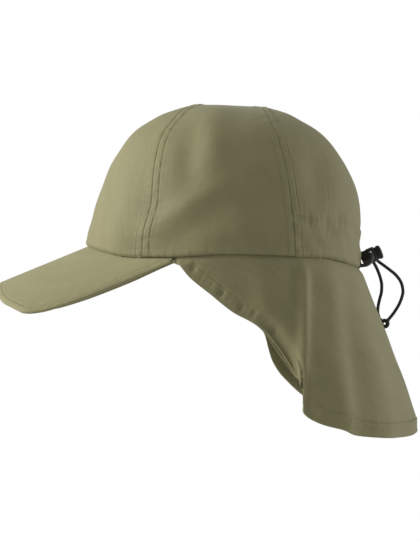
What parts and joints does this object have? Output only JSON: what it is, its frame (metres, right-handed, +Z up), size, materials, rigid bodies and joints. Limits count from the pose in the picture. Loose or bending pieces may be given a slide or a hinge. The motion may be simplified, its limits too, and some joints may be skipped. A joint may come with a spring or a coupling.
{
  "type": "sun cap with neck flap",
  "caption": "Soft sun cap with a curved peak, a seamed crown, a long neck flap and a drawcord with a spring cord lock at the back.",
  "frame": {"origin": "middle of the head opening, level with the crown's lower edge at the sides, where a head carries the cap", "axes": "-Y towards the peak, +Y towards the neck flap, +X towards the wearer's left, +Z up"},
  "size_m": [0.1759, 0.311, 0.2427],
  "materials": {
    "cloth": "matte woven nylon or polyester, olive khaki",
    "lock_plastic": "moulded black plastic, satin",
    "cord": "braided elastic cord, brownish black"
  },
  "bodies": {
    "cap": {"front_panel": "cloth", "middle_panel": "cloth", "back_panel": "cloth", "peak": "cloth", "neck_flap": "cloth", "cord_lock_body": "lock_plastic", "drawcord_left": "cord", "drawcord_right": "cord", "drawcord_knot": "cord"},
    "plunger": {"cord_lock_plunger": "lock_plastic"}
  },
  "joints": [
    {"name": "plunger_press", "type": "slide", "parent": "cap", "child": "plunger", "axis": [0, -0.9272, -0.3746], "range_m": [0, 0.0016], "stiffness_N_per_m": 500}
  ]
}
